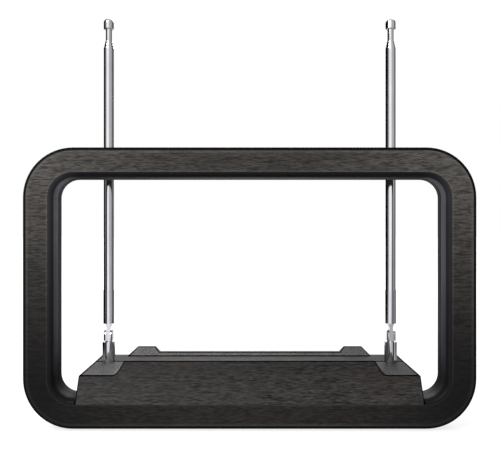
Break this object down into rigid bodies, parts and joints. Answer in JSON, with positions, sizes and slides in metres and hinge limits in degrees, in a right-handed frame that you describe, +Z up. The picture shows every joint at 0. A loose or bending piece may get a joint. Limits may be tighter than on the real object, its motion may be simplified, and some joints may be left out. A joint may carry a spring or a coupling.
{
  "type": "indoor tv antenna",
  "caption": "Indoor TV antenna: a rounded rectangular frame holds a wire loop and stands on a low base with swivelling, tilting telescopic rods and a threaded coaxial jack at the back.",
  "frame": {"origin": "on the surface it stands on, under the middle of the bounding box", "axes": "+Z up, -Y towards the viewer of the wood-grain face, +X to that viewer's right"},
  "size_m": [0.26, 0.082, 0.2503],
  "materials": {
    "wood_film": "dark wood-grain film on moulded plastic, satin",
    "black_plastic": "fine matt",
    "grey_plastic": "fine matt",
    "rubber": "matt",
    "steel": "plain",
    "black_steel": "blackened",
    "brass": "plain",
    "phosphor_bronze": "plain",
    "board": "solder resist",
    "ferrite": "sintered",
    "capacitor": "dipped",
    "nickel": "nickel plated",
    "white_plastic": "plain",
    "red_sleeve": "wire covering",
    "chrome": "polished"
  },
  "bodies": {
    "root": {"front_shell": "wood_film", "frame_rear_shell": "black_plastic", "base_rear_shell": "grey_plastic", "bottom_plate": "black_plastic", "front_left_foot": "rubber", "front_right_foot": "rubber", "rear_left_foot": "rubber", "rear_right_foot": "rubber", "left_ballast_bar": "steel", "right_ballast_bar": "steel", "loop_element": "brass", "circuit_board": "board", "balun_core": "ferrite", "balun_winding": "brass", "matching_capacitors": "capacitor", "jack_body": "nickel", "jack_insulator": "white_plastic", "jack_contact": "brass", "jack_washer": "nickel", "jack_nut": "nickel", "left_lead": "red_sleeve", "right_lead": "red_sleeve", "left_terminal_lug": "steel", "right_terminal_lug": "steel", "frame_screws": "black_steel", "housing_screws": "black_steel", "plate_screws": "black_steel"},
    "left_swivel": {"left_swivel_fork": "chrome", "left_spring_washer": "steel", "left_swivel_screw": "steel", "left_pivot_pin": "chrome"},
    "left_rod": {"left_rod_foot": "chrome", "left_outer_tube": "chrome"},
    "left_second": {"left_second_section": "chrome", "left_second_sleeve": "phosphor_bronze"},
    "left_third": {"left_third_section": "chrome", "left_third_sleeve": "phosphor_bronze"},
    "left_tip": {"left_tip_rod": "chrome", "left_tip_sleeve": "phosphor_bronze", "left_tip_knob": "chrome"},
    "right_swivel": {"right_swivel_fork": "chrome", "right_spring_washer": "steel", "right_swivel_screw": "steel", "right_pivot_pin": "chrome"},
    "right_rod": {"right_rod_foot": "chrome", "right_outer_tube": "chrome"},
    "right_second": {"right_second_section": "chrome", "right_second_sleeve": "phosphor_bronze"},
    "right_third": {"right_third_section": "chrome", "right_third_sleeve": "phosphor_bronze"},
    "right_tip": {"right_tip_rod": "chrome", "right_tip_sleeve": "phosphor_bronze", "right_tip_knob": "chrome"}
  },
  "joints": [
    {"name": "left_swivel_turn", "type": "hinge", "parent": "root", "child": "left_swivel", "pos_m": [-0.0908, 0.00605, 0.03], "axis": [0, 0, 1], "continuous": true},
    {"name": "left_rod_tilt", "type": "hinge", "parent": "left_swivel", "child": "left_rod", "pos_m": [-0.0908, 0.00605, 0.0471], "axis": [-1, 0, 0], "range_deg": [0, 90]},
    {"name": "left_second_slide", "type": "slide", "parent": "left_rod", "child": "left_second", "axis": [0, 0, 1], "range_m": [0, 0.1627]},
    {"name": "left_third_slide", "type": "slide", "parent": "left_second", "child": "left_third", "axis": [0, 0, 1], "range_m": [0, 0.1646]},
    {"name": "left_tip_slide", "type": "slide", "parent": "left_third", "child": "left_tip", "axis": [0, 0, 1], "range_m": [0, 0.1665]},
    {"name": "right_swivel_turn", "type": "hinge", "parent": "root", "child": "right_swivel", "pos_m": [0.0908, 0.00605, 0.03], "axis": [0, 0, 1], "continuous": true},
    {"name": "right_rod_tilt", "type": "hinge", "parent": "right_swivel", "child": "right_rod", "pos_m": [0.0908, 0.00605, 0.0471], "axis": [-1, 0, 0], "range_deg": [0, 90]},
    {"name": "right_second_slide", "type": "slide", "parent": "right_rod", "child": "right_second", "axis": [0, 0, 1], "range_m": [0, 0.1627]},
    {"name": "right_third_slide", "type": "slide", "parent": "right_second", "child": "right_third", "axis": [0, 0, 1], "range_m": [0, 0.1646]},
    {"name": "right_tip_slide", "type": "slide", "parent": "right_third", "child": "right_tip", "axis": [0, 0, 1], "range_m": [0, 0.1665]}
  ]
}
